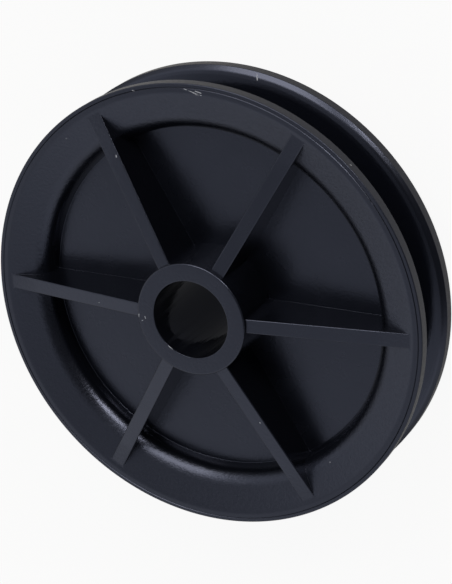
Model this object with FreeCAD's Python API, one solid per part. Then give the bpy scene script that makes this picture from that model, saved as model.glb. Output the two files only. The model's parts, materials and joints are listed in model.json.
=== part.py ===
"""Belt idler pulley for a V belt, moulded in one piece in black plastic.

A plain bore runs through a hub that stands proud on both sides. A thin web joins the hub to
the rim, six straight ribs stiffen it on each face, and the rim carries one V groove between
two dished flanges. Both faces are alike, so every outline is drawn once and mirrored.
The bore's axis is Z and the origin is the middle of the bore. Millimetres and degrees.
"""
import FreeCAD, Part
import math
import os

Vector = FreeCAD.Vector

# Rim and flanges
outer_radius = 57.5            # over the two lands
land_width = 2.95              # flat outer edge of each flange
rim_edge_radius = 1.0          # from the land onto the side face
side_ring_width = 0.7          # flat ring between that rounding and the dished face
flange_face_angle = 18.5       # how far the side face dishes in, towards the hub

# Belt groove
groove_mouth = 13.6            # across the groove at the lands
groove_depth = 9.2             # from the lands to the groove's floor
groove_flank_angle = 17.0      # each flank, from square to the bore
groove_floor_radius = 1.5      # between flank and floor
lip_depth = 2.0                # the flared lip at the mouth, measured towards the bore
lip_outer_angle = 40.0         # slope of the lip beside the land
lip_inner_angle = 20.0         # slope of the lip beside the flank

# Web and recess
web_thickness = 3.2
floor_wall = 3.5               # from the groove's floor to the recess
recess_draft = 4.0             # lean of the recess wall
recess_foot_radius = 0.4       # between web and recess wall
recess_shoulder_radius = 5.0   # the large rounding from the wall onto the dished face

# Hub and bore
bore_radius = 10.0
bore_edge_radius = 0.25
hub_wall = 4.5
hub_length = 32.0
hub_draft = 0.5
hub_edge_radius = 0.45
hub_foot_radius = 0.6

# Ribs, on each face
rib_count = 6
rib_thickness = 3.6            # at the top of the rib, beside the hub
rib_draft = 1.0                # lean of each side
rib_step = 1.2                 # the rib starts this far below the hub's end
rib_run_out = 3.6              # it dies into the flange this far inside the lands
rib_root = 1.0                 # how far its end reaches into the flange's wall
rib_edge_radius = 0.3
rib_foot_radius = 0.3

# Turned roundings are short flats, to keep the model light
rounding_tolerance = 0.08      # how far a flat may lie inside the true arc

# Sizes that follow from those above
groove_half = groove_mouth / 2
rim_half = groove_half + land_width
web_half = web_thickness / 2
hub_half = hub_length / 2
hub_radius = bore_radius + hub_wall
groove_floor = outer_radius - groove_depth
recess_radius = groove_floor - floor_wall
face_radius = outer_radius - rim_edge_radius - side_ring_width
rib_start_height = hub_half - rib_step
rib_end_radius = outer_radius - rib_run_out


def slope(angle):
    """Rise over run of a line at this angle in degrees."""
    return math.tan(math.radians(angle))


def face_height(radius):
    """Height of the dished side face above the middle plane at a radius."""
    return rim_half - (face_radius - radius) * slope(flange_face_angle)


def hub_corners():
    """Upper half of the hub, from the bore outwards: radius, height and rounding of each corner."""
    foot_radius = hub_radius + (hub_half - web_half) * slope(hub_draft)
    return [
        (bore_radius, hub_half, bore_edge_radius),
        (hub_radius, hub_half, hub_edge_radius),
        (foot_radius, web_half, hub_foot_radius),
    ]


def flange_corners():
    """Upper recess and side face, from the web outwards to the land."""
    wall = slope(recess_draft)
    dish = slope(flange_face_angle)
    shoulder_height = web_half + (face_height(recess_radius) - web_half) / (1 - dish * wall)
    shoulder_radius = recess_radius + (shoulder_height - web_half) * wall
    return [
        (recess_radius, web_half, recess_foot_radius),
        (shoulder_radius, shoulder_height, recess_shoulder_radius),
        (face_radius, rim_half, 0),
        (outer_radius, rim_half, rim_edge_radius),
    ]


def groove_corners():
    """Upper half of the belt groove, from the land inwards to the floor."""
    lip_middle = groove_half - lip_depth / 2 * slope(lip_outer_angle)
    lip_end = lip_middle - lip_depth / 2 * slope(lip_inner_angle)
    floor_half = lip_end - (groove_depth - lip_depth) * slope(groove_flank_angle)
    return [
        (outer_radius, groove_half, 0),
        (outer_radius - lip_depth / 2, lip_middle, 0),
        (outer_radius - lip_depth, lip_end, 0),
        (groove_floor, floor_half, groove_floor_radius),
    ]


def rounding_points(corner, before, after, rounding):
    """Points on the arc that rounds a corner between two straights, from one tangent to the other."""
    if rounding == 0:
        return [corner]
    turn = before.getAngle(after)
    along = Vector(before).normalize()
    across = (Vector(after).normalize() - along * math.cos(turn)) * (1 / math.sin(turn))
    start = corner - along * rounding * math.tan(turn / 2)
    flat_turn = 2 * math.acos(max(1 - rounding_tolerance / rounding, 0))
    flats = max(1, round(turn / flat_turn))
    points = []
    for i in range(flats + 1):
        angle = turn * i / flats
        forward = along * rounding * math.sin(angle)
        sideways = across * rounding * (1 - math.cos(angle))
        points.append(start + forward + sideways)
    return points


def rounded_outline(corners):
    """Closed wire through (radius, height, rounding) corners.

    Two neighbouring roundings that ask for more than the straight between them are cut back.
    """
    count = len(corners)
    points = [Vector(radius, 0, height) for radius, height, _ in corners]
    ahead = [points[(i + 1) % count] - points[i] for i in range(count)]
    turns = [ahead[i - 1].getAngle(ahead[i]) for i in range(count)]
    reach = [corners[i][2] * math.tan(turns[i] / 2) for i in range(count)]
    share = [1.0] * count
    for i in range(count):
        j = (i + 1) % count
        wanted = reach[i] + reach[j]
        if wanted > 0.98 * ahead[i].Length:
            fits = 0.98 * ahead[i].Length / wanted
            share[i] = min(share[i], fits)
            share[j] = min(share[j], fits)
    outline = []
    for i in range(count):
        outline += rounding_points(points[i], ahead[i - 1], ahead[i], corners[i][2] * share[i])
    return Part.makePolygon(outline + outline[:1])


def make_turned_body():
    """Hub, web and grooved rim as one turned shape."""
    upper = hub_corners() + flange_corners() + groove_corners()
    lower = [(radius, -height, rounding) for radius, height, rounding in reversed(upper)]
    section = Part.Face(rounded_outline(upper + lower))
    return section.revolve(Vector(0, 0, 0), Vector(0, 0, 1), 360)


def rib_top_height(radius):
    """Height of a rib's straight top, from the hub out to where it dies into the flange."""
    fall = (rib_start_height - face_height(rib_end_radius)) / (rib_end_radius - hub_radius)
    return rib_start_height - fall * (radius - hub_radius)


def rib_side_view():
    """The rib seen from the side: it ends inside the hub's wall and inside the flange's wall."""
    inner = bore_radius + hub_wall / 2
    outer = rib_end_radius + rib_root
    wall_middle = groove_floor - floor_wall / 2
    flange_middle = (face_height(outer) + groove_half - lip_depth * slope(lip_outer_angle)) / 2
    corners = [
        Vector(inner, 0, 0),
        Vector(inner, 0, rib_top_height(inner)),
        Vector(outer, 0, rib_top_height(outer)),
        Vector(outer, 0, flange_middle),
        Vector(wall_middle, 0, face_height(wall_middle) / 2),
        Vector(wall_middle, 0, 0),
    ]
    return Part.Face(Part.makePolygon(corners + corners[:1]))


def rib_half_width(height):
    """Half the thickness of a rib at a height, with the draft of its sides."""
    return rib_thickness / 2 + (rib_start_height - height) * slope(rib_draft)


def rib_end_view():
    """The rib seen along its length: leaning sides that flare into the web at the foot."""
    flare_height = web_half + rib_foot_radius
    side = rib_half_width(flare_height)
    foot = side + rib_foot_radius
    bulge = rib_foot_radius * (1 - math.sqrt(0.5))
    top = rib_half_width(hub_half)
    edges = [
        Part.LineSegment(Vector(0, -top, hub_half), Vector(0, top, hub_half)).toShape(),
        Part.LineSegment(Vector(0, -foot, 0), Vector(0, foot, 0)).toShape(),
    ]
    for hand in (-1, 1):
        upper = Vector(0, hand * top, hub_half)
        waist = Vector(0, hand * side, flare_height)
        middle = Vector(0, hand * (side + bulge), web_half + bulge)
        toe = Vector(0, hand * foot, web_half)
        base = Vector(0, hand * foot, 0)
        edges.append(Part.LineSegment(upper, waist).toShape())
        edges.append(Part.Arc(waist, middle, toe).toShape())
        edges.append(Part.LineSegment(toe, base).toShape())
    return Part.Face(Part.Wire(Part.__sortEdges__(edges)))


def is_rib_top_edge(edge):
    """True for the two long edges along a rib's sloping top."""
    ends = [vertex.Point for vertex in edge.Vertexes]
    on_top = all(abs(point.z - rib_top_height(point.x)) < 0.001 for point in ends)
    return len(ends) == 2 and on_top and abs(ends[0].x - ends[1].x) > rib_thickness


def make_rib():
    """One rib on the upper face, along +X, with its two top edges rounded."""
    half_span = rib_half_width(0) + rib_foot_radius
    side_view = rib_side_view()
    side_view.translate(Vector(0, -half_span, 0))
    from_side = side_view.extrude(Vector(0, 2 * half_span, 0))
    from_end = rib_end_view().extrude(Vector(outer_radius, 0, 0))
    rib = from_side.common(from_end).Solids[0]
    top_edges = [edge for edge in rib.Edges if is_rib_top_edge(edge)]
    return rib.makeFillet(rib_edge_radius, top_edges)


def make_pulley():
    """The turned body with its ribs on both faces, as one solid."""
    upper_rib = make_rib()
    lower_rib = upper_rib.mirror(Vector(0, 0, 0), Vector(0, 0, 1))
    ribs = []
    for step in range(rib_count):
        for rib in (upper_rib, lower_rib):
            placed = rib.copy()
            placed.rotate(Vector(0, 0, 0), Vector(0, 0, 1), 360.0 / rib_count * step)
            ribs.append(placed)
    pulley = make_turned_body().fuse(ribs).removeSplitter()
    return pulley.Solids[0]


def main():
    os.makedirs("parts", exist_ok=True)
    pulley = make_pulley()
    box = pulley.BoundBox
    print("pulley: volume %.1f mm3, box %.2f x %.2f x %.2f mm, valid %s"
          % (pulley.Volume, box.XLength, box.YLength, box.ZLength, pulley.isValid()))
    pulley.exportStep("parts/pulley.step")


main()
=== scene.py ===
# %% [markdown]
# # A belt idler pulley in moulded plastic
#
# The real thing is one piece of black plastic: a hub with a plain bore, a thin web, six ribs on
# each face and a rim with one V groove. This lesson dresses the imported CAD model. It turns the
# body from its outline, sets the ribs round it, joins them, and then gives the plastic its finish,
# with a floor, a pale room and a camera to look at it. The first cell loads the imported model.

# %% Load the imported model
import json
import math

import bmesh
import bpy
from mathutils import Matrix, Vector

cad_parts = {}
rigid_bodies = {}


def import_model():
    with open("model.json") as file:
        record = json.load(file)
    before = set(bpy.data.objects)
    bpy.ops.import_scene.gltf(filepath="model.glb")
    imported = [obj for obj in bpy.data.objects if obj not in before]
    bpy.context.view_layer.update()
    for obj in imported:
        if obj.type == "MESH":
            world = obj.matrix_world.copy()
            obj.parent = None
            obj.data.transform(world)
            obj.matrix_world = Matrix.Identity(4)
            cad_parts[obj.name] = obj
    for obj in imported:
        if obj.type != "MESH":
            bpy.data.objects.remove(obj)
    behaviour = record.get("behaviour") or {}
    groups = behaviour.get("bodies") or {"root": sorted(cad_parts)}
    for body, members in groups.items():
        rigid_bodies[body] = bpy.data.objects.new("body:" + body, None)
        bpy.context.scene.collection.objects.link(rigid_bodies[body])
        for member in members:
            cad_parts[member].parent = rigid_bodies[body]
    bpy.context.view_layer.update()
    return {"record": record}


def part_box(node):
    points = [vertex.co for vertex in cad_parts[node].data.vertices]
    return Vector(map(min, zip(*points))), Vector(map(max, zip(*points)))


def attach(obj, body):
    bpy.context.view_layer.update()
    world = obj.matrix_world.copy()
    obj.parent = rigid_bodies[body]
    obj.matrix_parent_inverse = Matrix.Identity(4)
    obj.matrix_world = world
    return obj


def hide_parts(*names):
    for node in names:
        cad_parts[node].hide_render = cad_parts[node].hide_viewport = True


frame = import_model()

# %% [markdown]
# ## Measure first
#
# The dressed part has to fill the same space as the CAD model. So the box round the model is
# measured before anything is made.

# %% [markdown]
# ## Sizes
#
# The outside and the bore come from the CAD model, so the dressed part can't drift away from it.
# They could be typed in again, and would be wrong as soon as the model changes.

# %% Sizes from the CAD model
MM = 0.001

low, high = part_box("pulley")
bore_mount = next(mount for mount in frame["record"]["mounts"] if mount["name"] == "bore")
outer_radius = high.x / MM
hub_half = high.z / MM
bore_radius = bore_mount["dims"]["r_mm"]
print("outer radius %.2f, hub half length %.2f mm" % (outer_radius, hub_half))
print("bore radius %.2f mm" % bore_radius)

# %% [markdown]
# ## The drawing's sizes
#
# The others are the sizes that a draughtsman would write on the drawing, in millimetres and
# degrees. The groove takes a V belt 13 mm wide, the walls are a few millimetres thick, as is usual
# in moulded parts, and what has to slide out of the mould leans a little. Each size is written
# once, and all that follows is worked out from them.

# %% Sizes from the drawing
# Belt groove
groove_half = 6.8               # half the mouth, at the lands
groove_depth = 9.2
groove_flank_angle = 17.0       # lean of each flank, from square to the bore
groove_floor_radius = 1.5
lip_depth = 2.0                 # the flared lip at the mouth
lip_outer_angle = 40.0          # its slope beside the land
lip_inner_angle = 20.0          # its slope beside the flank
lip_crown_radius = 2.5
flank_radius = 1.0              # between the lip and the flank
land_edge_radius = 0.25         # between the land and the lip

# Flanges
rim_half = 9.75                 # from the middle plane to the flat ring
side_ring_width = 2.1           # the flat ring on each side face
flange_face_angle = 17.0        # how far the side face dishes in, towards the hub
rim_edge_radius = 0.3           # from the land onto the flat ring
face_break_radius = 2.5         # from the flat ring onto the dished face

# Web and recess
web_half = 1.6
floor_wall = 3.5                # from the groove's floor to the recess
recess_draft = 4.0              # lean of the recess wall
recess_foot_radius = 0.15
recess_shoulder_radius = 5.7    # the large rounding from the wall onto the dished face

# Hub
hub_wall = 4.5
hub_draft = 0.5
hub_edge_radius = 0.45
hub_foot_radius = 0.0           # a sharp corner
bore_edge_radius = 0.25

# Sizes that follow from those above
hub_radius = bore_radius + hub_wall
groove_floor = outer_radius - groove_depth
recess_radius = groove_floor - floor_wall
face_radius = outer_radius - rim_edge_radius - side_ring_width
print("hub radius %.2f, recess radius %.2f mm" % (hub_radius, recess_radius))
print("dished face starts at radius %.2f mm" % face_radius)

# %% [markdown]
# ## Where sloping faces meet
#
# The recess wall leans, so that the part leaves its mould, and the side face dishes in. The corner
# between them lies where their two lines would meet, before the large rounding takes it away. It
# could be measured off a picture. It is worked out from the slopes, and stays right when a size
# is changed.

# %% Slopes and the shoulder's corner
def slope(angle):
    """Rise over run of a line at this angle in degrees."""
    return math.tan(math.radians(angle))


def face_height(radius):
    """Height of the dished side face above the middle plane."""
    return rim_half - (face_radius - radius) * slope(flange_face_angle)


def recess_shoulder():
    """Corner where the leaning recess wall would meet the dished face: radius and height."""
    wall = slope(recess_draft)
    dish = slope(flange_face_angle)
    height = web_half + (face_height(recess_radius) - web_half) / (1 - dish * wall)
    return recess_radius + (height - web_half) * wall, height


print("recess shoulder at radius %.2f, height %.2f mm" % recess_shoulder())

# %% [markdown]
# ## The outline
#
# A turned shape is drawn as one closed outline beside its axis. Only the corners are listed, each
# with the radius that rounds it. Both faces are alike, so half the outline is enough. Where two
# parts of the mould met, a fine witness line was left in each flat ring. Three corners cut it as
# a shallow V, because a line drawn in the material alone would be lost in the exported mesh.

# %% Corners of the outline
line_inset = 1.05               # from the land to the middle of the witness line
line_width = 0.30
line_depth = 0.15
line_radius = outer_radius - line_inset


def half_outline():
    """Upper half of the section, from the bore outwards: radius, height and rounding."""
    hub_foot = hub_radius + (hub_half - web_half) * slope(hub_draft)
    lip_middle = groove_half - lip_depth / 2 * slope(lip_outer_angle)
    lip_end = lip_middle - lip_depth / 2 * slope(lip_inner_angle)
    floor_half = lip_end - (groove_depth - lip_depth) * slope(groove_flank_angle)
    return [
        (bore_radius, hub_half, bore_edge_radius),
        (hub_radius, hub_half, hub_edge_radius),
        (hub_foot, web_half, hub_foot_radius),
        (recess_radius, web_half, recess_foot_radius),
        (*recess_shoulder(), recess_shoulder_radius),
        (face_radius, rim_half, face_break_radius),
        (line_radius - line_width / 2, rim_half, 0),
        (line_radius, rim_half - line_depth, 0),
        (line_radius + line_width / 2, rim_half, 0),
        (outer_radius, rim_half, rim_edge_radius),
        (outer_radius, groove_half, land_edge_radius),
        (outer_radius - lip_depth / 2, lip_middle, lip_crown_radius),
        (outer_radius - lip_depth, lip_end, flank_radius),
        (groove_floor, floor_half, groove_floor_radius),
    ]


print("corners in half the outline:", len(half_outline()))

# %% [markdown]
# ## The outline as a curve
#
# The corners could be rounded here, point by point. Instead a Fillet Curve node rounds them later,
# in as many steps as each arc needs. A curve point can carry one number of its own, its radius,
# and that number takes the rounding there. The curve's X is the distance from the bore's wall,
# because it will be swept round a circle as wide as the bore.

# %% Draw the outline
def new_object(name, data):
    """An object in the scene that holds this mesh, curve, lamp or camera."""
    made = bpy.data.objects.new(name, data)
    bpy.context.scene.collection.objects.link(made)
    return made


def outline_curve():
    """The whole outline as a closed curve, with the roundings as its points' radii."""
    upper = half_outline()
    corners = upper[::-1] + [(radius, -height, rounding) for radius, height, rounding in upper]
    curve = bpy.data.curves.new("pulley_outline", "CURVE")
    curve.dimensions = "3D"
    spline = curve.splines.new("POLY")
    spline.points.add(len(corners) - 1)
    for point, (radius, height, rounding) in zip(spline.points, corners):
        point.co = ((radius - bore_radius) * MM, height * MM, 0, 1)
        point.radius = rounding * MM
    spline.use_cyclic_u = True
    return new_object("pulley_outline", curve)


outline = outline_curve()
print("outline corners:", len(outline.data.splines[0].points))

# %% [markdown]
# ## One rib
#
# A rib is a long wedge. It starts just below the hub's end, falls in a straight line and dies into
# the dished flange. Its sides lean a degree, so that it leaves the mould, and its top edges are
# slightly rounded.

# %% Rib sizes
rib_count = 6                   # on each face
rib_thickness = 3.6             # at its top, beside the hub
rib_draft = 1.0                 # lean of each side
rib_step = 1.2                  # it starts this far below the hub's end
rib_run_out = 3.6               # it dies into the flange this far inside the lands
rib_root = 1.0                  # how far its end reaches into the flange
rib_edge_radius = 0.3
rib_foot_radius = 0.1
rib_start_height = hub_half - rib_step
rib_end_radius = outer_radius - rib_run_out


def rib_top_height(radius):
    """Height of the rib's straight top."""
    fall = (rib_start_height - face_height(rib_end_radius)) / (rib_end_radius - hub_radius)
    return rib_start_height - fall * (radius - hub_radius)


def rib_half_width(height):
    """Half the rib's thickness at a height, with the lean of its sides."""
    return rib_thickness / 2 + (rib_start_height - height) * slope(rib_draft)


print("rib top, mm: %.2f at the hub, %.2f at the recess, %.2f at its end" % (
    rib_top_height(hub_radius), rib_top_height(recess_radius), rib_top_height(rib_end_radius)))

# %% [markdown]
# ## A loft
#
# A cube with cut faces would do for the rib, but a loft keeps every corner where the sizes put it:
# a ring of points at each station along the rib, joined ring to ring and closed at the ends. Both
# sides of the rib are alike, so only the right half of each ring is worked out.

# %% Helpers that loft rings
def loft(name, rings):
    """Joins rings of (x, y, z) points in millimetres into a closed mesh with flat ends."""
    mesh = bmesh.new()
    rows = [[mesh.verts.new(Vector(point) * MM) for point in ring] for ring in rings]
    for near, far in zip(rows, rows[1:]):
        for i in range(len(near)):
            j = (i + 1) % len(near)
            mesh.faces.new((near[i], near[j], far[j], far[i]))
    mesh.faces.new(rows[0])
    mesh.faces.new(rows[-1])
    bmesh.ops.recalc_face_normals(mesh, faces=mesh.faces)
    data = bpy.data.meshes.new(name)
    mesh.to_mesh(data)
    mesh.free()
    return new_object(name, data)


def both_sides(right):
    """A ring from its right half: the points (across, up), then the same mirrored, back to front."""
    return right + [(-across, up) for across, up in reversed(right)]


# %% [markdown]
# ## The rib's wedge
#
# Four rings are enough for the rib, because all of it is straight. Its underside stays hidden in
# the web, steps up inside the recess wall, and ends inside the flange, so that the rib and the
# body share some depth when they are joined. Only its two top edges need an arc.

# %% Loft the wedge
EDGE_STEPS = 4
QUARTER_TURN = math.radians(90)
UNDERSIDE_STEP = 0.5            # length of the step in its underside


def wedge_ring(radius, bottom):
    """Section of the rib across its length, at one distance from the axis."""
    centre = rib_top_height(radius) - rib_edge_radius
    side = rib_half_width(centre) - rib_edge_radius
    right = [(rib_half_width(bottom), bottom)]
    for i in range(EDGE_STEPS + 1):
        turn = QUARTER_TURN * i / EDGE_STEPS
        across = side + rib_edge_radius * math.cos(turn)
        right.append((across, centre + rib_edge_radius * math.sin(turn)))
    return [(radius, across, up) for across, up in both_sides(right)]


def make_rib_wedge():
    """The rib from inside the hub's wall to inside the flange."""
    inner = bore_radius + hub_wall / 2
    outer = rib_end_radius + rib_root
    wall_middle = groove_floor - floor_wall / 2
    flange_middle = (face_height(outer) + groove_half - lip_depth * slope(lip_outer_angle)) / 2
    return loft("rib_wedge", [
        wedge_ring(inner, web_half / 2),
        wedge_ring(wall_middle - UNDERSIDE_STEP, web_half / 2),
        wedge_ring(wall_middle, face_height(wall_middle) / 2),
        wedge_ring(outer, flange_middle),
    ])


rib_wedge = make_rib_wedge()
print("rib wedge faces:", len(rib_wedge.data.polygons))

# %% [markdown]
# ## The line of the rib's foot
#
# A moulded rib rarely meets the wall in a sharp corner: a small hollow rounding runs down the hub,
# across the web, up the recess wall and over the shoulder, and fades out where the rib does. A
# Bevel modifier would have to find those edges after the join, and fails where they run out. So
# the foot is a second loft, and first it needs the line that it follows on the body's surface.

# %% The line that the foot follows
ARC_STEPS = 8
FOOT_CLEARANCE = 0.1            # between the line's roundings and the foot's own
FIRST_STATION = 0.1             # share of the way down the hub
LAST_STATIONS = (0.4, 0.6, 0.8, 1.0)


def rounded_corner(corner, before, after, rounding):
    """Points of the arc that rounds a corner between two directions."""
    before = before.normalized()
    after = after.normalized()
    turn = before.angle(after)
    across = (after - before * math.cos(turn)) / math.sin(turn)
    start = corner - before * rounding * math.tan(turn / 2)
    points = []
    for i in range(ARC_STEPS + 1):
        angle = turn * i / ARC_STEPS
        forward = before * rounding * math.sin(angle)
        points.append(start + forward + across * rounding * (1 - math.cos(angle)))
    return points


def foot_line():
    """Points (radius, height) on the body's surface from the hub's wall out to the rib's tip.

    Its roundings stay wider than the foot's own, or the foot's rings would cross each other.
    """
    hub_foot = hub_radius + (hub_half - web_half) * slope(hub_draft)
    start_height = rib_start_height - rib_edge_radius
    end_radius = rib_end_radius - rib_edge_radius
    corners = [
        Vector((hub_radius + (hub_half - start_height) * slope(hub_draft), start_height)),
        Vector((hub_foot, web_half)),
        Vector((recess_radius, web_half)),
        Vector(recess_shoulder()),
        Vector((end_radius, face_height(end_radius))),
    ]
    least = rib_foot_radius + FOOT_CLEARANCE
    roundings = (max(hub_foot_radius, least), max(recess_foot_radius, least), recess_shoulder_radius)
    line = [corners[0], corners[0].lerp(corners[1], FIRST_STATION)]
    for i, rounding in enumerate(roundings, start=1):
        before = corners[i] - corners[i - 1]
        after = corners[i + 1] - corners[i]
        line += rounded_corner(corners[i], before, after, rounding)
    return line + [line[-1].lerp(corners[-1], share) for share in LAST_STATIONS]


print("points on the foot's line:", len(foot_line()))

# %% [markdown]
# ## The rib's foot
#
# The foot's rings stand square to that line. Each is wide at the bottom and as narrow as the rib
# at the top. It is sunk a little below the skin and tucked a little under the rib's sides, so that
# no two faces lie in the same plane when the pieces are joined.

# %% Loft the foot
FOOT_STEPS = 6
FOOT_SINK = 0.02                # below the skin, and under the rib's sides
FOOT_ROOT = 0.7                 # how deep its underside lies
FOOT_SHARE = 0.6                # most of the rib's height that it may take


def foot_ring(point, along):
    """Section of the foot, square to its line and at most FOOT_SHARE of the rib's height."""
    outward = Vector((-along.y, along.x)).normalized()
    room = rib_top_height(point.x) - point.y
    rounding = min(rib_foot_radius, FOOT_SHARE * room)
    side = rib_half_width(point.y + outward.y * rounding) - FOOT_SINK
    right = [(side + rounding, -FOOT_ROOT)]
    for i in range(FOOT_STEPS + 1):
        turn = QUARTER_TURN * i / FOOT_STEPS
        across = side + rounding * (1 - math.sin(turn))
        right.append((across, rounding * (1 - math.cos(turn)) - FOOT_SINK))
    ring = []
    for across, up in both_sides(right):
        place = point + outward * up
        ring.append((math.sqrt(place.x ** 2 - across ** 2), across, place.y))
    return ring


def make_rib_foot():
    """The foot along its whole line, each ring square to the points on either side."""
    line = foot_line()
    last = len(line) - 1
    rings = []
    for i, point in enumerate(line):
        rings.append(foot_ring(point, line[min(i + 1, last)] - line[max(i - 1, 0)]))
    return loft("rib_foot", rings)


rib_foot = make_rib_foot()
print("rib foot faces:", len(rib_foot.data.polygons))

# %% [markdown]
# ## A small kit for node trees
#
# The shape and the material are both made by node trees. Wired by hand in the editor they would be
# quick to draw and slow to change, so a few short helpers wire them here. A socket takes either a
# plain value or another node's output, and the helpers accept both.

# %% Helpers for node trees
def link(tree, source, target):
    tree.links.new(source, target)


def feed(tree, socket, value):
    """Links a socket to another node's output, or sets it to a plain value."""
    if isinstance(value, bpy.types.NodeSocket):
        link(tree, value, socket)
    else:
        socket.default_value = value


def add(tree, kind, values=None, **settings):
    """A new node with its settings, and its sockets fed by name or number."""
    node = tree.nodes.new(kind)
    for name, value in settings.items():
        setattr(node, name, value)
    for socket, value in (values or {}).items():
        feed(tree, node.inputs[socket], value)
    return node


def math_node(tree, operation, *operands):
    """The result of a Math node."""
    return add(tree, "ShaderNodeMath", dict(enumerate(operands)), operation=operation).outputs[0]


# %% [markdown]
# ## The tree that makes the moulding
#
# One Geometry Nodes tree makes the whole moulding. Its sizes are named inputs, so that the same
# tree could make a pulley with another bore, more ribs or another outline.

# %% A tree with named inputs
shape_tree = bpy.data.node_groups.new("pulley_moulding", "GeometryNodeTree")
for name, kind in (
    ("Outline", "Object"), ("Rib Wedge", "Object"), ("Rib Foot", "Object"),
    ("Bore Radius", "Float"), ("Arc Step", "Float"), ("Sharp Angle", "Float"),
    ("Steps Round", "Int"), ("Rib Count", "Int"), ("Material", "Material"),
):
    shape_tree.interface.new_socket(name, in_out="INPUT", socket_type="NodeSocket" + kind)
shape_tree.interface.new_socket("Geometry", in_out="OUTPUT", socket_type="NodeSocketGeometry")
sizes = add(shape_tree, "NodeGroupInput").outputs
print("inputs:", [item.name for item in shape_tree.interface.items_tree if item.in_out == "INPUT"])

# %% [markdown]
# ### The turned body
#
# Hub, web and rim are one turned shape, as round as the mould that made them. A Screw modifier
# would turn the outline too. Curve to Mesh is used, because it stays in the same tree as the
# fillets: they round the corners first, with more steps on a larger arc, and the rounded outline
# is then swept round a circle as wide as the bore.

# %% Round the corners and sweep the outline
FEWEST_ARC_STEPS = 3


def turned_body(tree):
    """Rounds the outline's corners and sweeps it round the axis."""
    drawn = add(tree, "GeometryNodeObjectInfo", {"Object": sizes["Outline"]})
    rounding = add(tree, "GeometryNodeInputRadius").outputs[0]
    steps = math_node(tree, "DIVIDE", rounding, sizes["Arc Step"])
    fillet = add(tree, "GeometryNodeFilletCurve", {
        "Curve": drawn.outputs["Geometry"],
        "Count": math_node(tree, "ADD", steps, FEWEST_ARC_STEPS),
        "Radius": rounding,
        "Limit Radius": True,
    }, mode="POLY")
    circle = add(tree, "GeometryNodeCurvePrimitiveCircle", {
        "Resolution": sizes["Steps Round"],
        "Radius": sizes["Bore Radius"],
    })
    level = add(tree, "GeometryNodeSetCurveNormal", {"Curve": circle.outputs["Curve"]}, mode="Z_UP")
    sweep = add(tree, "GeometryNodeCurveToMesh", {
        "Curve": level.outputs[0],
        "Profile Curve": fillet.outputs[0],
    })
    return sweep.outputs[0]


body = turned_body(shape_tree)
print("nodes for the turned body:", len(shape_tree.nodes))

# %% [markdown]
# ### The ring of ribs
#
# Six ribs stand on each face, exactly below each other. One rib is drawn, a copy of it is turned
# upside down for the other face, and the pair is set on six points at the axis, each turned a
# sixth further. Instances are light to place, and they are made real before the join.

# %% Copy a rib to both faces and round the axis
UPSIDE_DOWN = (math.pi, 0, 0)


def rib_ring(tree, part):
    """Copies of one part of a rib on both faces, spaced round the axis."""
    drawn = add(tree, "GeometryNodeObjectInfo", {"Object": part, "As Instance": True})
    under = add(tree, "GeometryNodeTransform", {
        "Geometry": drawn.outputs["Geometry"],
        "Rotation": UPSIDE_DOWN,
    })
    both = add(tree, "GeometryNodeJoinGeometry")
    link(tree, drawn.outputs["Geometry"], both.inputs[0])
    link(tree, under.outputs[0], both.inputs[0])
    points = add(tree, "GeometryNodePoints", {"Position": (0, 0, 0), "Count": sizes["Rib Count"]})
    step = math_node(tree, "DIVIDE", 2 * math.pi, sizes["Rib Count"])
    index = add(tree, "GeometryNodeInputIndex").outputs[0]
    turned = add(tree, "ShaderNodeCombineXYZ", {"Z": math_node(tree, "MULTIPLY", index, step)})
    ring = add(tree, "GeometryNodeInstanceOnPoints", {
        "Points": points.outputs[0],
        "Instance": both.outputs[0],
        "Rotation": turned.outputs[0],
    })
    return add(tree, "GeometryNodeRealizeInstances", {0: ring.outputs[0]}).outputs[0]


rib_parts = [rib_ring(shape_tree, sizes[part]) for part in ("Rib Wedge", "Rib Foot")]
print("nodes with the ribs:", len(shape_tree.nodes))

# %% [markdown]
# ### One closed skin
#
# A moulding is one closed skin with nothing inside it. Pieces that are only pushed together would
# look the same, but would leave hidden walls in the mesh. So a boolean union joins them. The faces
# are then shaded smooth, and edges sharper than the threshold stay crisp, as they are in the mould.

# %% Join, smooth and finish the tree
union = add(shape_tree, "GeometryNodeMeshBoolean", operation="UNION", solver="MANIFOLD")
for part in [body, *rib_parts]:
    link(shape_tree, part, union.inputs["Mesh 2"])

angle = add(shape_tree, "GeometryNodeInputMeshEdgeAngle").outputs["Unsigned Angle"]
smooth = add(shape_tree, "GeometryNodeSetShadeSmooth", {
    "Geometry": union.outputs["Mesh"],
}, domain="FACE")
crisp = add(shape_tree, "GeometryNodeSetShadeSmooth", {
    "Geometry": smooth.outputs[0],
    "Selection": math_node(shape_tree, "GREATER_THAN", angle, sizes["Sharp Angle"]),
    "Shade Smooth": False,
}, domain="EDGE")

real = add(shape_tree, "GeometryNodeRealizeInstances", {0: crisp.outputs[0]})
coated = add(shape_tree, "GeometryNodeSetMaterial", {
    "Geometry": real.outputs[0],
    "Material": sizes["Material"],
})
add(shape_tree, "NodeGroupOutput", {0: coated.outputs[0]})
print("nodes in the whole tree:", len(shape_tree.nodes))

# %% [markdown]
# ## The plastic
#
# The real part is moulded in a black engineering plastic, nearly black in itself. What the eye
# sees is mostly the room mirrored in its skin, with a cool cast, so the base is very dark and the
# finish lies in how smooth each zone is. A photograph wrapped round the mesh would fit one side
# only. Instead, all of it is worked out from a point's own place on the pulley.

# %% A new material
PLASTIC_IOR = 1.52
PLASTIC_CAST = (0.64, 0.71, 1.0, 1)


def new_material(name):
    """A material, its node tree and its shader."""
    material = bpy.data.materials.new(name)
    material.use_nodes = True
    return material, material.node_tree, material.node_tree.nodes["Principled BSDF"]


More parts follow.
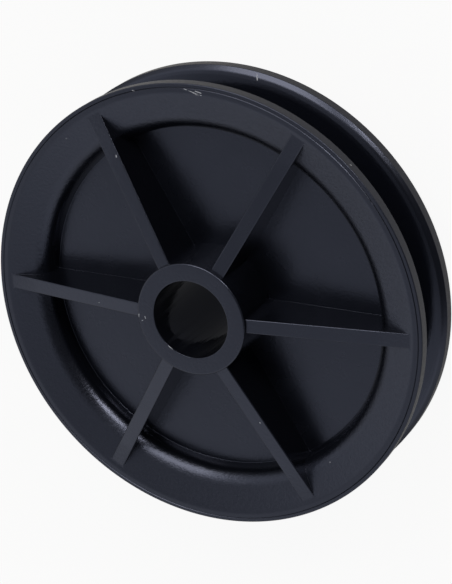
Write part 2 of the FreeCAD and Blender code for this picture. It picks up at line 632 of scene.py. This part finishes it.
plastic, plastic_tree, plastic_shader = new_material("black_plastic")
plastic_shader.inputs["IOR"].default_value = PLASTIC_IOR
plastic_shader.inputs["Specular Tint"].default_value = PLASTIC_CAST
print("material:", plastic.name)

# %% [markdown]
# ### Where a point lies
#
# A pulley's finish goes by distance from the axis and by height, as on a lathe. Object coordinates
# travel with the part, so the pattern never slides when the part is turned. They are scaled to
# millimetres, so that every number below can be checked with a rule.

# %% Radius and height of the shaded point
def pulley_place(tree):
    """Sockets for the shaded point in millimetres: the point, its x, y and z, radius and height."""
    scaled = add(tree, "ShaderNodeVectorMath", {
        0: add(tree, "ShaderNodeTexCoord").outputs["Object"],
        "Scale": 1 / MM,
    }, operation="SCALE")
    x, y, z = add(tree, "ShaderNodeSeparateXYZ", {0: scaled.outputs[0]}).outputs
    squares = [math_node(tree, "MULTIPLY", part, part) for part in (x, y)]
    radius = math_node(tree, "SQRT", math_node(tree, "ADD", *squares))
    height = math_node(tree, "ABSOLUTE", z)
    return {"point": scaled.outputs[0], "x": x, "y": y, "z": z, "radius": radius, "height": height}


place = pulley_place(plastic_tree)
print("places to read:", ", ".join(place))

# %% [markdown]
# ### Blends and noise
#
# Real zones have no hard borders, and no real surface is even. Two helpers blend: one runs
# smoothly from one level to another, and one mixes two values by a share. A third gives soft
# random patches, whose scale is in patches to the millimetre. The last makes a vector from three
# values, for noise that is stretched along a direction.

# %% Helpers for patterns
NUMBER_SOCKETS = (0, 2, 3)      # where a Mix node takes its share and two plain numbers


def fade(tree, value, start, end, low=0.0, high=1.0):
    """Runs smoothly from low to high while the value runs from start to end."""
    return add(tree, "ShaderNodeMapRange", {
        "Value": value, "From Min": start, "From Max": end, "To Min": low, "To Max": high,
    }, interpolation_type="SMOOTHSTEP").outputs["Result"]


def mix_value(tree, share, first, second):
    """first where the share is 0 and second where it is 1."""
    values = dict(zip(NUMBER_SOCKETS, (share, first, second)))
    return add(tree, "ShaderNodeMix", values, data_type="FLOAT").outputs[0]


def noise(tree, vector, scale, detail=2.0, roughness=0.5):
    """Soft random patches between 0 and 1."""
    values = {"Vector": vector, "Scale": scale, "Detail": detail, "Roughness": roughness}
    return add(tree, "ShaderNodeTexNoise", values).outputs["Fac"]


def vector_of(tree, *parts):
    """A vector from three values."""
    return add(tree, "ShaderNodeCombineXYZ", dict(enumerate(parts))).outputs[0]


# %% [markdown]
# ### Places for marks
#
# A used pulley has a few pale marks: scuffs where it was knocked, a witness of flash across the
# rear lip, and specks where the black skin is broken. They could be painted, but paint needs an
# image. Each is a short stroke between two places, and the places are given as radius, angle and
# height, as they would be found with a rule.

# %% The marks
def spot(radius, angle, height):
    """A place on the pulley in millimetres."""
    turn = math.radians(angle)
    return Vector((radius * math.cos(turn), radius * math.sin(turn), height))


def face_spot(radius, angle):
    """A place on the upper dished face or its flat ring."""
    return spot(radius, angle, min(rim_half, face_height(radius)))


def rib_spot(radius, angle):
    """A place on top of an upper rib."""
    return spot(radius, angle, rib_top_height(radius))


def hub_spot(radius, angle):
    """A place on the hub's upper end."""
    return spot(radius, angle, hub_half)


MARKS = [
    (face_spot(56.2, 91.8), face_spot(55.0, 87.2), 0.13),
    (face_spot(55.9, 88.8), face_spot(55.6, 87.2), 0.16),
    (face_spot(55.4, 89.4), face_spot(54.9, 88.0), 0.11),
    (spot(57.0, 80.4, -6.6), spot(55.9, 79.8, -5.6), 0.25),
    (spot(55.4, 79.4, -5.2), spot(53.8, 79.2, -4.8), 0.14),
    (hub_spot(14.1, -177.6), spot(14.3, -175.0, 15.9), 0.22),
    (hub_spot(12.5, -175.8), hub_spot(12.4, -173.4), 0.14),
    (hub_spot(13.6, -170.6), hub_spot(13.1, -171.6), 0.10),
    (hub_spot(10.1, -129.0), hub_spot(10.1, -122.0), 0.14),
    (rib_spot(43.2, 118.4), rib_spot(42.9, 118.6), 0.24),
    (rib_spot(27.1, -178.8), rib_spot(26.8, -178.9), 0.14),
    (rib_spot(31.0, -58.6), rib_spot(30.8, -58.8), 0.15),
    (face_spot(56.6, 106.0), face_spot(56.5, 105.6), 0.22),
    (face_spot(53.5, 131.3), face_spot(53.4, 131.1), 0.18),
    (face_spot(48.8, -48.5), face_spot(48.7, -48.3), 0.18),
    (spot(57.5, 46.6, 8.6), spot(57.5, 46.2, 8.3), 0.2),
]
print("marks:", len(MARKS))

# %% [markdown]
# ### Strokes
#
# For each mark, the tree finds the nearest point of its stroke and the gap to it, and fades the
# mark out over its half width. A thin mesh laid on the skin would catch the light at its edges,
# and a change of colour in the skin doesn't.

# %% One stroke
STROKE_CORE = 0.3               # share of its half width over which a stroke is whole


def vector_node(tree, operation, *operands):
    """A Vector Math node."""
    return add(tree, "ShaderNodeVectorMath", dict(enumerate(operands)), operation=operation)


def stroke(tree, point, start, end, width):
    """1 on a short stroke between two places and 0 away from it."""
    along = end - start
    offset = vector_node(tree, "SUBTRACT", point, start).outputs[0]
    share = vector_node(tree, "DOT_PRODUCT", offset, along / along.length_squared).outputs["Value"]
    nearest = vector_node(tree, "SCALE", along)
    feed(tree, nearest.inputs["Scale"], add(tree, "ShaderNodeClamp", {0: share}).outputs[0])
    gap = vector_node(tree, "DISTANCE", offset, nearest.outputs[0]).outputs["Value"]
    return fade(tree, gap, width, STROKE_CORE * width)


print("longest mark: %.1f mm" % max((end - start).length for start, end, width in MARKS))

# %% [markdown]
# ### Colour
#
# The strongest stroke wins, and a fine noise breaks its edge, as a scratch in plastic is never
# quite whole. The colour then runs from the black of the plastic to the grey of a scuff.

# %% Colour with the pale marks
BREAK_SCALE = 2.6
BREAK_RANGE = (0.3, 0.55)
PLASTIC_COLOUR = (0.0016, 0.0019, 0.0031, 1)
MARK_COLOUR = (0.24, 0.25, 0.27, 1)
COLOUR_SOCKETS = (0, 6, 7)      # where a Mix node takes its share and two colours
COLOUR_RESULT = 2


def pale_marks(tree):
    """The strongest of all strokes, broken up by a fine noise."""
    strongest = 0.0
    for start, end, width in MARKS:
        one = stroke(tree, place["point"], start, end, width)
        strongest = math_node(tree, "MAXIMUM", one, strongest)
    breaks = fade(tree, noise(tree, place["point"], BREAK_SCALE), *BREAK_RANGE)
    return math_node(tree, "MULTIPLY", strongest, breaks)


marks = pale_marks(plastic_tree)
colours = dict(zip(COLOUR_SOCKETS, (marks, PLASTIC_COLOUR, MARK_COLOUR)))
colour = add(plastic_tree, "ShaderNodeMix", colours, data_type="RGBA").outputs[COLOUR_RESULT]
link(plastic_tree, colour, plastic_shader.inputs["Base Color"])
print("nodes with the marks:", len(plastic_tree.nodes))

# %% [markdown]
# ### Where the belt and the spindle rub
#
# The belt touches only the groove, and the spindle only the bore. Each gets a share, 1 in that
# zone and 0 elsewhere, which the roughness and the relief both use. The spindle's streaks are a
# noise read from a point whose height hardly counts, so that every patch is drawn out along the
# bore.

# %% Shares of the groove and the bore
UNDER_FLOOR = (0.3, 0.1)        # from below the groove's floor
GROOVE_BORDER = 0.05            # on either side of the groove's mouth
BORE_SKIN = (0.15, 0.05)        # from the bore's wall
STREAK_PULL = 0.02
STREAK_SCALE = 0.9


def groove_share(tree):
    """1 in the belt groove and 0 elsewhere."""
    far, near = UNDER_FLOOR
    deep = fade(tree, place["radius"], groove_floor - far, groove_floor - near)
    outside = groove_half + GROOVE_BORDER
    between = fade(tree, place["height"], outside, groove_half - GROOVE_BORDER)
    return math_node(tree, "MULTIPLY", deep, between)


def bore_share(tree):
    """1 on the bore's wall and 0 elsewhere."""
    far, near = BORE_SKIN
    return fade(tree, place["radius"], bore_radius + far, bore_radius + near)


def bore_streaks(tree):
    """A noise drawn out along the bore."""
    slow = math_node(tree, "MULTIPLY", place["z"], STREAK_PULL)
    return noise(tree, vector_of(tree, place["x"], place["y"], slow), STREAK_SCALE, detail=4.0)


in_groove = groove_share(plastic_tree)
in_bore = bore_share(plastic_tree)
streaks = bore_streaks(plastic_tree)
print("nodes with the shares:", len(plastic_tree.nodes))

# %% [markdown]
# ### The pockets
#
# The mould was polished in its deep pockets, most of all on their upright sides, where the part
# has to slide off it. The web is a little duller, with faint clouds. One roughness for the whole
# part would look like a toy, so each zone gets its own level, with a little noise on it.

# %% Roughness of the pockets
POCKET_ROUGHNESS = 0.25
UPRIGHT_ROUGHNESS = 0.07
LEVEL_TO_UPRIGHT = (0.6, 0.2)   # how far a face's direction points up or down
MOST_NOISE = (0.3, 0.7)         # nearly all of a noise lies between these
CLOUD_SCALE = 0.12
CLOUD_SWING = (-0.03, 0.04)


def pocket_roughness(tree):
    """Clouds on the web and the hub's end, and a polish on all that stands upright."""
    clouds = noise(tree, place["point"], CLOUD_SCALE, detail=3.0)
    level = math_node(tree, "ADD", fade(tree, clouds, *MOST_NOISE, *CLOUD_SWING), POCKET_ROUGHNESS)
    normal = add(tree, "ShaderNodeTexCoord").outputs["Normal"]
    facing = add(tree, "ShaderNodeSeparateXYZ", {0: normal}).outputs["Z"]
    upright = fade(tree, math_node(tree, "ABSOLUTE", facing), *LEVEL_TO_UPRIGHT)
    return mix_value(tree, upright, level, UPRIGHT_ROUGHNESS)


pockets_level = pocket_roughness(plastic_tree)
print("nodes with the pockets:", len(plastic_tree.nodes))

# %% [markdown]
# ### Flanges and groove
#
# The flanges were left satin in the mould. The belt has rubbed the groove's flanks smooth, with
# fine rings round them, and the lip less so. Rings need no drawing: they are a noise that is read
# by radius and height alone, so that it is the same all the way round.

# %% Roughness of the flanges and the groove
FLANGE_ROUGHNESS = 0.33
SATIN_SCALE = 1.4
SATIN_SWING = (-0.03, 0.05)
RUBBED_ROUGHNESS = 0.10
LIP_ROUGHNESS = 0.22
RUBBED_TO_LIP = (3.5, 1.5)      # inside the lands
RING_SCALE = 1.8
RING_SWING = (0.0, 0.05)


def flange_roughness(tree):
    """Satin over the dished faces, the flat rings and the lands."""
    satin = fade(tree, noise(tree, place["point"], SATIN_SCALE), *MOST_NOISE, *SATIN_SWING)
    return math_node(tree, "ADD", satin, FLANGE_ROUGHNESS)


def groove_roughness(tree):
    """Rubbed flanks and a duller lip, with rings round the axis."""
    inner, outer = (outer_radius - depth for depth in RUBBED_TO_LIP)
    level = fade(tree, place["radius"], inner, outer, RUBBED_ROUGHNESS, LIP_ROUGHNESS)
    rings = noise(tree, vector_of(tree, place["radius"], 0.0, place["z"]), RING_SCALE, detail=4.0)
    return math_node(tree, "ADD", level, fade(tree, rings, *MOST_NOISE, *RING_SWING))


flanges_level = flange_roughness(plastic_tree)
groove_level = groove_roughness(plastic_tree)
print("nodes with the flanges and the groove:", len(plastic_tree.nodes))

# %% [markdown]
# ### All zones together
#
# The spindle has polished the bore and drawn streaks along it, and a scuff is duller than the skin
# round it. The zones are laid over each other, each by its share. A material for each zone would
# do too, but would leave a hard border, and the real plastic runs on from one into the next.

# %% Roughness, zone over zone
FLANGE_BORDER = (1.4, 3.4)      # outside the recess
STREAK_RANGE = (0.40, 0.60)
BORE_ROUGHNESS = (0.02, 0.20)
MARK_ROUGHNESS = 0.55


def zone_roughness(tree):
    """Roughness of the skin, with each zone laid over the ones before it."""
    inner, outer = (recess_radius + gap for gap in FLANGE_BORDER)
    on_flange = fade(tree, place["radius"], inner, outer)
    level = mix_value(tree, on_flange, pockets_level, flanges_level)
    level = mix_value(tree, in_groove, level, groove_level)
    level = mix_value(tree, in_bore, level, fade(tree, streaks, *STREAK_RANGE, *BORE_ROUGHNESS))
    return mix_value(tree, marks, level, MARK_ROUGHNESS)


link(plastic_tree, zone_roughness(plastic_tree), plastic_shader.inputs["Roughness"])
print("nodes with the roughness:", len(plastic_tree.nodes))

# %% [markdown]
# ### Relief
#
# Moulded plastic sinks a little as it cools, so its skin is slightly wavy, and the dished face
# has a fine grain from the mould. Both are far too fine for the mesh, a few hundredths of a
# millimetre, and are right for a bump. The grain is strongest on the dished face, weak on the flat
# ring and in the groove, and next to nothing in the bore, where the streaks take its place.

# %% Waviness, grain and streaks
WAVE_SCALE = 0.16
WAVE_HEIGHT = 0.012
GRAIN_SCALE = 1.3
GRAIN_HARSHNESS = 0.65
GRAIN_HEIGHT = 0.030
STREAK_HEIGHT = 0.06
RELIEF_NOISE = (0.2, 0.8)       # all of a noise lies between these
POCKET_GRAIN = 0.6
DISHED_GRAIN = 1.2
DISH_BORDER = (0.5, 3.5)        # outside the recess
RING_GRAIN = 0.3
RING_BORDER = (-1.5, 0.5)       # about the edge of the flat ring
GROOVE_GRAIN = 0.2
BORE_GRAIN = 0.05


def grain_share(tree):
    """How much of the grain each zone shows."""
    inner, outer = (recess_radius + gap for gap in DISH_BORDER)
    share = fade(tree, place["radius"], inner, outer, POCKET_GRAIN, DISHED_GRAIN)
    inner, outer = (face_radius + gap for gap in RING_BORDER)
    on_ring = fade(tree, place["radius"], inner, outer)
    share = mix_value(tree, on_ring, share, RING_GRAIN)
    share = mix_value(tree, in_groove, share, GROOVE_GRAIN)
    return mix_value(tree, in_bore, share, BORE_GRAIN)


def skin_relief(tree):
    """Height of the skin in millimetres: a slight waviness, fine grain and the bore's streaks."""
    wave = fade(tree, noise(tree, place["point"], WAVE_SCALE), *RELIEF_NOISE, 0.0, WAVE_HEIGHT)
    pattern = noise(tree, place["point"], GRAIN_SCALE, detail=3.0, roughness=GRAIN_HARSHNESS)
    grain = fade(tree, pattern, *RELIEF_NOISE, 0.0, GRAIN_HEIGHT)
    relief = math_node(tree, "ADD", wave, math_node(tree, "MULTIPLY", grain, grain_share(tree)))
    drawn = math_node(tree, "MULTIPLY", streaks, in_bore)
    return math_node(tree, "MULTIPLY_ADD", drawn, STREAK_HEIGHT, relief)


bump = add(plastic_tree, "ShaderNodeBump", {
    "Strength": 1.0, "Distance": MM, "Height": skin_relief(plastic_tree),
})
link(plastic_tree, bump.outputs[0], plastic_shader.inputs["Normal"])
print("nodes in the whole material:", len(plastic_tree.nodes))

# %% [markdown]
# ## Make the moulding
#
# The tree works as a modifier on an empty mesh. The export needs a plain mesh, so the result is
# taken off with new_from_object and the helpers are removed. A Weighted Normal modifier comes
# last: it lets the large flat faces decide the shading at their edges, so that the small roundings
# don't smear it across them.

# %% The finished piece
SHARP_ANGLE = math.radians(35)
ARC_STEP = 0.5
STEPS_ROUND = 240


def set_input(modifier, name, value):
    """Sets a named input by its socket's identifier, which stays when a name is changed."""
    sockets = [item for item in modifier.node_group.interface.items_tree if item.name == name]
    modifier[sockets[0].identifier] = value


def make_pulley():
    """The moulding as one plain mesh."""
    holder = new_object("pulley_holder", bpy.data.meshes.new("pulley_holder"))
    modifier = holder.modifiers.new("moulding", "NODES")
    modifier.node_group = shape_tree
    for name, value in (
        ("Outline", outline), ("Rib Wedge", rib_wedge), ("Rib Foot", rib_foot),
        ("Bore Radius", bore_radius * MM), ("Arc Step", ARC_STEP * MM), ("Sharp Angle", SHARP_ANGLE),
        ("Steps Round", STEPS_ROUND), ("Rib Count", rib_count), ("Material", plastic),
    ):
        set_input(modifier, name, value)
    weighted = holder.modifiers.new("normals", "WEIGHTED_NORMAL")
    weighted.keep_sharp = True
    graph = bpy.context.evaluated_depsgraph_get()
    mesh = bpy.data.meshes.new_from_object(
        holder.evaluated_get(graph), preserve_all_data_layers=True, depsgraph=graph)
    mesh.name = "pulley_moulding"
    for helper in (holder, outline, rib_wedge, rib_foot):
        bpy.data.objects.remove(helper)
    return new_object("pulley_moulding", mesh)


pulley = make_pulley()
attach(pulley, "root")
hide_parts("pulley")
print("piece:", pulley.name)

# %% [markdown]
# ## Is it one closed skin?
#
# A picture can hide a hole, and a printer or a simulation can't. In a closed skin every edge joins
# exactly two faces, so the open edges are counted, and the volume can be set against the CAD model.

# %% Measure the mesh
skin = bmesh.new()
skin.from_mesh(pulley.data)
open_edges = sum(1 for edge in skin.edges if not edge.is_manifold)
print("vertices %d, faces %d, triangles %d" % (
    len(skin.verts), len(skin.faces), len(skin.calc_loop_triangles())))
print("open edges %d, volume %.1f mm3" % (open_edges, skin.calc_volume() / MM ** 3))
skin.free()

# %% [markdown]
# ## The floor
#
# The pulley lies on a plain pale floor that fades into the background. A white floor would throw
# its light back up into the black plastic, so the floor is a grey card for the light and keeps the
# soft shadow. Light Path adds a glow that the camera alone sees, and a faint one in reflections,
# which makes it look nearly white without more light on the pulley.

# %% The floor
FLOOR_HALF = 3.0
FLOOR_COLOUR = (0.42, 0.42, 0.42, 1)
SEEN_GLOW = 0.925
MIRRORED_GLOW = 0.10


def pale_floor():
    """A dull grey card that looks nearly white to the camera."""
    material, tree, shader = new_material("pale_floor")
    shader.inputs["Base Color"].default_value = FLOOR_COLOUR
    shader.inputs["Roughness"].default_value = 1.0
    shader.inputs["Specular IOR Level"].default_value = 0.0
    glow = add(tree, "ShaderNodeEmission", {"Color": (1, 1, 1, 1), "Strength": 1.0})
    path = add(tree, "ShaderNodeLightPath").outputs
    mirrored = math_node(tree, "ADD", path["Is Glossy Ray"], path["Is Transmission Ray"])
    mirrored = math_node(tree, "MULTIPLY", mirrored, MIRRORED_GLOW)
    seen = math_node(tree, "MULTIPLY", path["Is Camera Ray"], SEEN_GLOW)
    mix = add(tree, "ShaderNodeMixShader", {
        0: math_node(tree, "ADD", seen, mirrored), 1: shader.outputs[0], 2: glow.outputs[0],
    })
    output = next(node for node in tree.nodes if node.type == "OUTPUT_MATERIAL")
    link(tree, mix.outputs[0], output.inputs["Surface"])
    return material


def make_floor():
    """A large square level with the lower end of the hub."""
    mesh = bpy.data.meshes.new("floor")
    signs = ((-1, -1), (1, -1), (1, 1), (-1, 1))
    corners = [(x * FLOOR_HALF, y * FLOOR_HALF, low.z) for x, y in signs]
    mesh.from_pydata(corners, [], [(0, 1, 2, 3)])
    mesh.materials.append(pale_floor())
    return new_object("floor", mesh)


floor = make_floor()
print("floor: %.1f m square, %.1f mm below the middle plane" % (2 * FLOOR_HALF, -low.z / MM))

# %% [markdown]
# ## The room
#
# Black plastic is seen by what it mirrors, so the room has to be made with as much care as the
# part. An image of a real room would do it, but a few fades are enough: bright walls over a darker
# horizon, and a ceiling that is brighter on one side.

# %% Walls and ceiling
HORIZON_LEVEL = 0.36
WALL_LEVEL = 1.25
WALL_RISE = (0.0, 0.62)         # upward part of the direction, from the horizon up the walls
CEILING_EDGE = (0.66, 0.87)     # the same, from the walls to the ceiling
CEILING_LEVELS = (0.53, 0.84)
CEILING_SPAN = (-0.6, 0.6)      # across the room, from +Y to +X


def room_level(tree, towards):
    """Brightness of the walls and the ceiling in a direction."""
    x, y, z = add(tree, "ShaderNodeSeparateXYZ", {0: towards}).outputs
    walls = fade(tree, z, *WALL_RISE, HORIZON_LEVEL, WALL_LEVEL)
    ceiling = fade(tree, math_node(tree, "SUBTRACT", x, y), *CEILING_SPAN, *CEILING_LEVELS)
    return mix_value(tree, fade(tree, z, *CEILING_EDGE), walls, ceiling)


world = bpy.data.worlds.new("room")
world.use_nodes = True
room_tree = world.node_tree
room_towards = add(room_tree, "ShaderNodeTexCoord").outputs["Generated"]
room = room_level(room_tree, room_towards)
print("nodes for the room:", len(room_tree.nodes))

# %% [markdown]
# ## A dim opening and a backdrop
#
# A room that is bright all round would grey the black plastic. Behind the camera it has a dim
# opening with a soft edge, which the web and the ribs' sides mirror, and that keeps them dark. The
# camera itself sees a plain pale backdrop, so that no wall or horizon shows behind the floor.

# %% Finish the room
DIM_LEVEL = 0.10
DIM_PLACE = (8, 44)             # azimuth and elevation in degrees
DIM_SPREAD = (28, 41)           # degrees from its middle, where its soft edge starts and ends
BACKDROP_LEVEL = 0.95


def direction(azimuth, elevation):
    """Unit vector towards a place in the sky, in degrees from +X and above the floor."""
    turn = math.radians(azimuth)
    lift = math.radians(elevation)
    return Vector((math.cos(lift) * math.cos(turn), math.cos(lift) * math.sin(turn), math.sin(lift)))


def opening_share(tree, towards):
    """1 inside the dim opening and 0 outside it."""
    facing = vector_node(tree, "DOT_PRODUCT", towards, direction(*DIM_PLACE)).outputs["Value"]
    near, far = (math.cos(math.radians(angle)) for angle in DIM_SPREAD)
    return fade(tree, facing, far, near)


background = room_tree.nodes["Background"]
background.inputs["Color"].default_value = (1, 1, 1, 1)
lighting = mix_value(room_tree, opening_share(room_tree, room_towards), room, DIM_LEVEL)
seen = add(room_tree, "ShaderNodeLightPath").outputs["Is Camera Ray"]
link(room_tree, mix_value(room_tree, seen, lighting, BACKDROP_LEVEL), background.inputs["Strength"])
bpy.context.scene.world = world
print("nodes in the whole room:", len(room_tree.nodes))

# %% [markdown]
# ## The lamps
#
# Two soft lamps stand low on one side. The large one gives the broad sheen on the faces. The
# small, bright one is what the edges, the lip and the shoulder mirror as thin highlights. Their
# light is a little warm, against the cool cast of the plastic. Sun lamps would be simpler, but
# they have no size, and gloss shows the size of a lamp. An area lamp's power is spread over its
# size, so it is worked out from how bright the lamp should look.

# %% Two soft lamps
LAMP_COLOUR = (1.0, 0.94, 0.85)
LAMP_DISTANCE = 1.2
WATTS_AS_WHITE = 4              # to the square metre, for a lamp that looks as bright as white
LAMPS = (
    ("key_lamp", 98.0, 34.0, 0.75, 4.3),
    ("low_lamp", 54.0, 26.0, 0.28, 18.0),
)


def soft_lamp(name, azimuth, elevation, size, brightness):
    """A square soft lamp that faces the pulley and looks so many times as bright as white."""
    data = bpy.data.lights.new(name, "AREA")
    data.shape = "SQUARE"
    data.size = size
    data.energy = brightness * WATTS_AS_WHITE * size * size
    data.color = LAMP_COLOUR
    towards = direction(azimuth, elevation)
    lamp = new_object(name, data)
    lamp.location = towards * LAMP_DISTANCE
    lamp.rotation_euler = towards.to_track_quat("Z", "Y").to_euler()
    return lamp


for lamp_values in LAMPS:
    lamp = soft_lamp(*lamp_values)
    print("%s: %.2f m wide, %.1f W" % (lamp.name, lamp.data.size, lamp.data.energy))

# %% [markdown]
# ## The camera
#
# The camera stands high on one side and is rolled, so that the pulley looks as if it leans on its
# rim. Place, lens and roll were found by fitting the ellipses of the rim, the hub and the bore.
# The aim lies a little off the pulley's middle, which frames the picture without a lens shift.

# %% The camera
CAMERA_AZIMUTH = 42.25
CAMERA_ELEVATION = 55.4
CAMERA_ROLL = 129.36
CAMERA_DISTANCE = 0.51061
CAMERA_LENS = 126.84
CAMERA_SENSOR = 36.0
CAMERA_NEAREST = 0.01
CAMERA_AIM = Vector((1.34, 0.87, -1.11)) * MM


def make_camera():
    """The camera, looking back along a direction and rolled about it."""
    data = bpy.data.cameras.new("camera")
    data.lens = CAMERA_LENS
    data.sensor_width = CAMERA_SENSOR
    data.clip_start = CAMERA_NEAREST
    camera = new_object("camera", data)
    back = direction(CAMERA_AZIMUTH, CAMERA_ELEVATION)
    level = back.to_track_quat("Z", "Y").to_matrix()
    turned = level @ Matrix.Rotation(-math.radians(CAMERA_ROLL), 3, "Z")
    camera.matrix_world = Matrix.Translation(CAMERA_AIM + back * CAMERA_DISTANCE) @ turned.to_4x4()
    return camera


bpy.context.scene.camera = make_camera()
bpy.context.scene.view_settings.view_transform = "Standard"
print("camera: %.0f mm lens, %.2f m away" % (CAMERA_LENS, CAMERA_DISTANCE))
